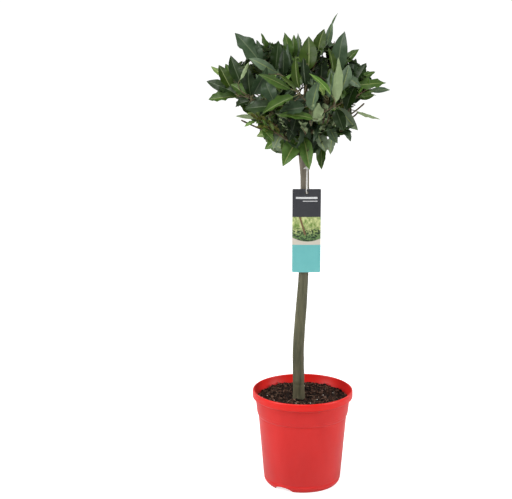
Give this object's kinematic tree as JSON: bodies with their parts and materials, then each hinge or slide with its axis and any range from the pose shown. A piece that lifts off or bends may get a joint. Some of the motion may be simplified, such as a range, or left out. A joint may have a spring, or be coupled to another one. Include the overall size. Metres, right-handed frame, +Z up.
{
  "type": "standard bay topiary in a plastic pot",
  "caption": "Standard bay: a clear upright stem topped by a loose round head of laurel leaves, in a round nursery pot of soil, with a printed label hung under the head.",
  "frame": {"origin": "centre of the pot's flat underside, on the ground", "axes": "+Z up along the pot's axis; the label hangs on the front, towards -Y; +X to the right as seen from the front"},
  "size_m": [0.367, 0.338, 0.986],
  "materials": {
    "pot_plastic": "satin",
    "soil": "matte",
    "bark": "matte",
    "foliage": "satin",
    "label": "satin",
    "label_string": "matte"
  },
  "bodies": {
    "root": {"pot": "pot_plastic", "soil": "soil", "trunk": "bark", "bough_low_front": "bark", "bough_low_left": "bark", "bough_low_right": "bark", "bough_low_back": "bark", "bough_left": "bark", "bough_front_left": "bark", "bough_front_right": "bark", "bough_right": "bark", "bough_back_right": "bark", "bough_back_left": "bark", "bough_top_left": "bark", "bough_top_front": "bark", "bough_top_right": "bark", "bough_top_back": "bark", "foliage_low_front": "foliage", "foliage_low_left": "foliage", "foliage_low_right": "foliage", "foliage_low_back": "foliage", "foliage_left": "foliage", "foliage_front_left": "foliage", "foliage_front_right": "foliage", "foliage_right": "foliage", "foliage_back_right": "foliage", "foliage_back_left": "foliage", "foliage_top_left": "foliage", "foliage_top_front": "foliage", "foliage_top_right": "foliage", "foliage_top_back": "foliage", "label": "label", "label_string": "label_string"}
  },
  "joints": []
}
